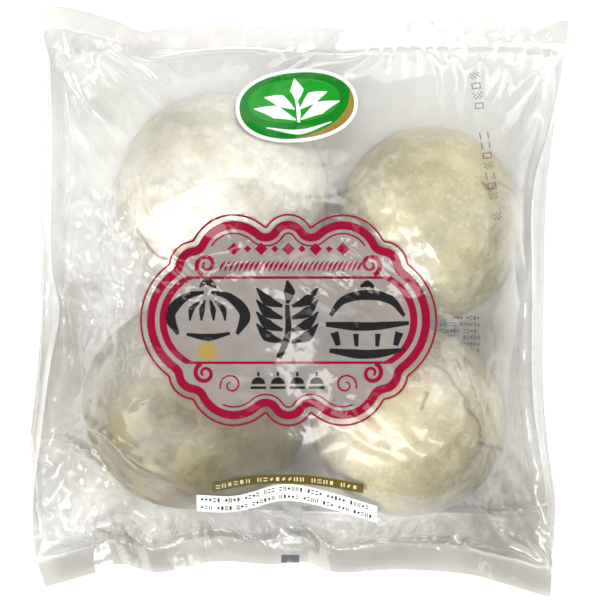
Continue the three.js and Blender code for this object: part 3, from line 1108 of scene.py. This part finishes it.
def ink_material(name, colour, see_through=0.0, metallic=0.0, spread=0.06, creased=True, coat=0.45):
    """Printed ink: one colour, a little uneven as ink on film is, with the film's gloss."""
    n = Nodes(bpy.data.materials.new(name))
    tone = n.noise(90, 3, 0.6, sides="2D")
    dark, light = ([part * (1 + side * spread) for part in colour] for side in (-1, 1))
    inputs = {
        "Base Color": n.ramp(tone, (0.3, dark), (0.7, light)),
        "Roughness": 0.5,
        "Specular IOR Level": 0.0,
        "Metallic": metallic,
        "Coat Weight": coat,
        "Coat Roughness": 0.11,
    }
    if creased:
        inputs["Normal"] = inputs["Coat Normal"] = fine_creases(n)
    solid = n.add("BsdfPrincipled", inputs).outputs[0]
    if not see_through:
        return n.finish(solid)
    share = n.range(tone, 0.3, 0.7, 1 - see_through * 1.2, 1 - see_through * 0.8)
    return n.finish(n.mix(share, n.add("BsdfTransparent").outputs[0], solid))


def dough_material(name, bun):
    """Steamed dough: pale cream, clearer and greyer in patches and flakes, frosty in others, with pale
    flecks, pits and brown cracks that are darkened by painted shade."""
    n = Nodes(bpy.data.materials.new(name))

    # The bun's tone scales every colour: in part painted light, lighter on the upper left bun and darker on
    # the lower left one.
    def shade(red, green, blue):
        return [min(0.97, part * bun.tone) for part in (red, green * bun.hue[0], blue * bun.hue[1])]

    colour = n.ramp(
        n.noise(30, 7, 0.66, warp=0.8),
        (0.28, shade(0.51, 0.430, 0.28)),
        (0.44, shade(0.63, 0.548, 0.385)),
        (0.55, shade(0.71, 0.632, 0.475)),
        (0.70, shade(0.83, 0.765, 0.61)),
    )
    patches = n.range(n.noise(17, 5, 0.55, warp=1.5), 0.54, 0.57, 0, 0.55)
    flakes = n.cells(n.bent(n.place(), 0.022, 45.0, 4.0), 62.0, output="Color", sides="3D")
    grain = n.noise(130, 7, 0.66, warp=0.4)
    frosty = n.range(n.noise(26, 3), 0.42, 0.6, 0, bun.frost)
    layers = (
        (patches, shade(0.48, 0.425, 0.285)),
        (n.range(flakes, 0.42, 0.72, 0, bun.flaky), shade(0.42, 0.36, 0.23)),
        (n.math("MULTIPLY", n.range(grain, 0.45, 0.65, 0, 1), frosty), shade(0.98, 0.96, 0.90)),
        (n.range(n.noise(520, 4, 0.65), 0.57, 0.70, 0, 0.45), shade(1.0, 0.97, 0.90)),
        (n.range(n.noise(330, 4, 0.6, warp=0.5), 0.60, 0.72, 0, 0.5), shade(0.40, 0.33, 0.20)),
        # The cracks' brown, with painted shade in their grooves.
        (n.mark("crack"), (0.23, 0.145, 0.07)),
    )
    for share, above in layers:
        colour = n.add("Mix", {"Factor": share, 6: colour, 7: (*above, 1)}, data_type="RGBA").outputs[2]
    relief = n.bump(n.math("ADD", n.math("MULTIPLY", n.noise(900, 3, 0.6), 0.25), grain), 0.0012, 0.5)
    inputs = {
        "Base Color": colour,
        "Roughness": 0.6,
        "Normal": relief,
        "Subsurface Weight": 0.08,
        "Subsurface Radius": (0.004, 0.003, 0.002),
        "Subsurface Scale": 1.0,
    }
    return n.finish(n.add("BsdfPrincipled", inputs).outputs[0])


# ---- Buns ----


def crack_depth(x, y):
    """How deep in a crack each point is, from 0 to 1, and how dark it is there: brown, with painted shade."""
    depth = np.zeros_like(x)
    tint = np.zeros_like(x)
    for number, (width, brown_and_shade, points) in enumerate(CRACKS):
        line = curve_through(points, 60) if len(points) > 2 else np.linspace(*points, 30)
        jitter = smooth_noise(line[:, 0], line[:, 1], 0, 50 + number, 8, 9.0, 2.0)
        line = line + np.stack([jitter, -jitter], 1) * 0.35
        here = np.exp(-((from_line(x, y, line).min(-1) / (width / 2)) ** 2))
        depth = np.maximum(depth, here)
        tint = np.maximum(tint, here * brown_and_shade)
    return depth, tint


def make_bun(name, bun, material):
    """A steamed bun: a lumpy dome with a soft shoulder, whose lower wall curves in to its flat base."""
    rings, spokes, wall_rings = 150, 260, 6
    base_z, wall_height, drawn_in, crack_depth_mm = 0.9, 0.25, 0.10, 1.5
    share = np.sin(np.linspace(0, 1, rings) * math.pi / 2)[:, None]
    turn = np.linspace(0, math.tau, spokes, endpoint=False)[None, :]
    x0, y0 = bun.at
    x = x0 + bun.half[0] * share * np.cos(turn)
    y = y0 + bun.half[1] * share * np.sin(turn)
    up = np.maximum(1 - share**DOME_POWER, 0) ** (1 / DOME_POWER) * np.ones_like(turn)
    z = bun.height * up
    lumps = smooth_noise(x, y, z, bun.seed, 10, 90, 24) * 0.8
    lumps += smooth_noise(x, y, z, bun.seed + 40, 14, 14, 3) * 0.16
    inward = np.maximum(0.7 - lumps * 0.7, -0.1)
    depth, tint = crack_depth(x, y)
    z = np.maximum(z - (inward + crack_depth_mm * depth) * up, base_z)
    x = x - inward * share * np.cos(turn)
    y = y - inward * share * np.sin(turn)
    down = np.arange(1, wall_rings + 1)[:, None] / wall_rings
    pull_in = 1 - drawn_in * down**2
    x = np.vstack([x, x0 + (x[-1] - x0) * pull_in])
    y = np.vstack([y, y0 + (y[-1] - y0) * pull_in])
    z = np.vstack([z, base_z - wall_height * down * np.ones_like(turn)])
    round_the_bun = np.stack([x, y, z], -1)[1:].reshape(-1, 3)
    points = np.vstack([(x0, y0, z[0].mean()), round_the_bun, (x0, y0, base_z - wall_height)])

    def at(ring, spoke):
        return 1 + (ring - 1) * spokes + spoke % spokes

    top, foot, last = 0, len(points) - 1, len(x) - 1
    faces = [(top, at(1, s), at(1, s + 1)) for s in range(spokes)]
    for ring in range(1, last):
        faces += [(at(ring, s), at(ring + 1, s), at(ring + 1, s + 1), at(ring, s + 1)) for s in range(spokes)]
    faces += [(foot, at(last, s + 1), at(last, s)) for s in range(spokes)]
    piece = new_piece(name, points, faces, material, "dough")
    mark(piece, "crack", np.concatenate([[0], tint[1:].ravel(), np.zeros(wall_rings * spokes + 1)]))
    return piece


# ---- The object ----

LABEL_LINE = [(-44.3, -85.9), (-27.5, -86.4), (-9, -81.7), (0, -82), (15, -85.6), (33.1, -91)]
GOLD_LINE = [(-37.4, -79.3), (-21.5, -76.3), (-1.7, -75.7), (12.9, -77.2), (27.1, -79.8)]


def strip(line, width):
    """The outline of a strip of even width, square at its ends, whose sides run straight up."""
    return ribbon(curve_through(line, 60), (0, -width / 2))


front = crease(settle_front())
back = settle_back(front)
film = new_piece("film", *film_mesh(front, back), film_material(), "bag_film")
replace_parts(film, "bag")
mark_film(film)
front_film = Surface(front)
back_film = Surface(back)

for bun_name, bun in BUNS.items():
    dough = dough_material("dough_of_" + bun_name, bun)
    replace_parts(make_bun(bun_name, bun, dough), "bag")

crimson = ink_material("crimson_ink", (0.205, 0.0015, 0.021))
black = ink_material("black_ink", (0.010, 0.010, 0.011))
silver = ink_material("silver_ink", (0.24, 0.215, 0.20), see_through=0.08, metallic=0.1, coat=0.85)
gold = ink_material("gold_ink", (0.105, 0.074, 0.010))
yellow = ink_material("yellow_ink", (0.26, 0.19, 0.05))
crescent_gold = ink_material("crescent_ink", (0.27, 0.165, 0.03))
green = ink_material("green_ink", (0.003, 0.17, 0.010))
# A lighter green for the badge's upper left: a painted highlight.
painted_highlight_green = ink_material("painted_highlight_green_ink", (0.010, 0.26, 0.016))
white = ink_material("white_ink", (0.83, 0.84, 0.82))
cream = ink_material("cream_ink", (0.62, 0.56, 0.40))
grey = ink_material("grey_ink", (0.10, 0.11, 0.13), see_through=0.35)
stamp_ink = ink_material("stamp_ink", (0.07, 0.07, 0.07), see_through=0.2)
paper = ink_material("label_paper", (0.80, 0.80, 0.79), spread=0.02, creased=False, coat=0.2)
toner = ink_material("label_toner", (0.03, 0.03, 0.032), spread=0.02, creased=False, coat=0.2)
seam_film = ink_material("seam_film", (0.86, 0.86, 0.85), see_through=0.55)

ink("print_panel", [[shift(lobed(BAND[1] - 0.6), FRAME_AT)]], silver, "ink_grey", front_film)
ink("print_frame", frame_shapes(), crimson, "ink_crimson", front_film, TOP_INK)
ink("print_marks", black_shapes(), black, "ink_black", front_film, TOP_INK)
ink("print_dot", [[disc(at_frame(-34.4, -13.2), 4.1)]], yellow, "ink_gold", front_film, TOP_INK)

# The badge's lighter green patch, up and to the left of its middle, is a painted highlight.
painted_highlight_oval = shift(badge_oval(6.5), (-1.0, 2.2))
leaves = [[on_badge(loop)] for loop in badge_leaves()]
ink("badge_rim", [[on_badge(badge_oval())]], white, "ink_grey", front_film)
ink("badge_field", [[on_badge(badge_oval(1.5))]], green, "ink_green", front_film, TOP_INK)
ink("badge_painted_highlight", [[on_badge(painted_highlight_oval)]], painted_highlight_green, "ink_green", front_film, PAINTED_HIGHLIGHT_LIFT)
ink("badge_crescent", [[on_badge(badge_crescent())]], crescent_gold, "ink_gold", front_film, BADGE_TOP)
ink("badge_leaves", leaves, white, "ink_grey", front_film, BADGE_TOP)

ink("print_gold_band", [[strip(GOLD_LINE, 3.9)]], gold, "ink_gold", front_film)
ink("gold_band_marks", specks(GOLD_LINE, 0, 2.0, 43, 2.6, 9), cream, "ink_gold", front_film, TOP_INK)
ink("date_stamp", stamp_shapes(), stamp_ink, "ink_grey", front_film)

LABEL_LIFT, LABEL_THICKNESS = 0.3, 0.15
label_outline = strip(LABEL_LINE, 7.4)
label = ink("label", [[label_outline]], paper, "label_paper", front_film, LABEL_LIFT, LABEL_THICKNESS)
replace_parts(label, "weight_label")
label_rows = specks(LABEL_LINE, 1.75, 2.1, 41) + specks(LABEL_LINE, -1.75, 1.9, 42)
ink("label_print", label_rows, toner, "ink_black", front_film, LABEL_LIFT + 0.05)

BACK_LIFT = 0.3  # up from the back film, inside the bag
seam_line = np.stack([np.full(40, -3.2), np.linspace(-104, 108, 40)], 1)
ink("back_seam", [[ribbon(seam_line, (4.1, 0))]], seam_film, "bag_film", back_film, BACK_LIFT)
ink("eye_mark", [[box((-4.2, -110.6), 7.8, 3.4)]], grey, "ink_grey", front_film)
back_rows = []
for number, y in enumerate((-6.6, -9.4, -12.2, -15.0, -17.8, -20.6)):
    back_rows += specks([(57.0, y - 0.4), (67.0, y), (80.0, y - 0.2)], 0, 2.0, 60 + number, 1.5, 12)
ink("back_print", back_rows, grey, "ink_grey", back_film, BACK_LIFT)

# ---- Floor, light and camera ----


def floor():
    bpy.ops.mesh.primitive_plane_add(size=6, location=(0, 0, -0.0003))
    plane = bpy.context.object
    plane.name = "floor"
    n = Nodes(bpy.data.materials.new("floor"))
    tone = n.ramp(n.noise(3, 2), (0.3, (0.93, 0.93, 0.93)), (0.7, (0.95, 0.95, 0.95)))
    shader = n.add("BsdfPrincipled", {"Base Color": tone, "Roughness": 0.8})
    plane.data.materials.append(n.finish(shader.outputs[0]))


def lamp(name, at, size, power, colour=(1, 1, 1)):
    """A soft box that faces the bag's middle."""
    data = bpy.data.lights.new(name, "AREA")
    data.shape = "RECTANGLE"
    data.size, data.size_y = size
    data.energy = power
    data.color = colour
    soft_box = bpy.data.objects.new(name, data)
    soft_box.location = at
    soft_box.rotation_mode = "QUATERNION"
    soft_box.rotation_quaternion = (Vector(at) * -1).to_track_quat("-Z", "Y")
    bpy.context.scene.collection.objects.link(soft_box)


def sky():
    """The room around: brighter overhead than at the sides."""
    n = Nodes(bpy.data.worlds.new("studio"), "OutputWorld")
    inputs = {0: n.add("TexCoord").outputs["Generated"], 1: (-0.2, 0.0, 0.75)}
    slope = n.add("VectorMath", inputs, operation="DOT_PRODUCT").outputs["Value"]
    strength = n.range(slope, -0.8, 0.8, 0.28, 0.36)
    room = n.add("Background", {"Color": (1.0, 0.99, 0.965, 1), "Strength": strength})
    bpy.context.scene.world = n.finish(room.outputs[0])


def camera():
    view_width, distance = 0.258, 3.2  # what the photo's frame spans, and from how far
    sensor, middle_height = 36, 0.02
    data = bpy.data.cameras.new("camera")
    data.sensor_width = sensor
    data.lens = sensor * (distance - middle_height) / view_width
    shot = bpy.data.objects.new("camera", data)
    shot.location = (0.0, 0.0011, distance)
    bpy.context.scene.collection.objects.link(shot)
    bpy.context.scene.camera = shot


floor()
sky()
lamp("top", (-0.05, 0.55, 0.6), (1.2, 0.4), 2.5)
lamp("window", (-0.95, -0.60, 1.1), (1.0, 0.9), 21, (1, 0.99, 0.97))
lamp("overhead", (-0.12, -0.62, 1.6), (0.7, 0.55), 12, (1, 0.985, 0.96))
lamp("far side", (0.95, 0.85, 1.0), (1.7, 1.5), 18)
camera()
bpy.context.scene.view_settings.view_transform = "Standard"
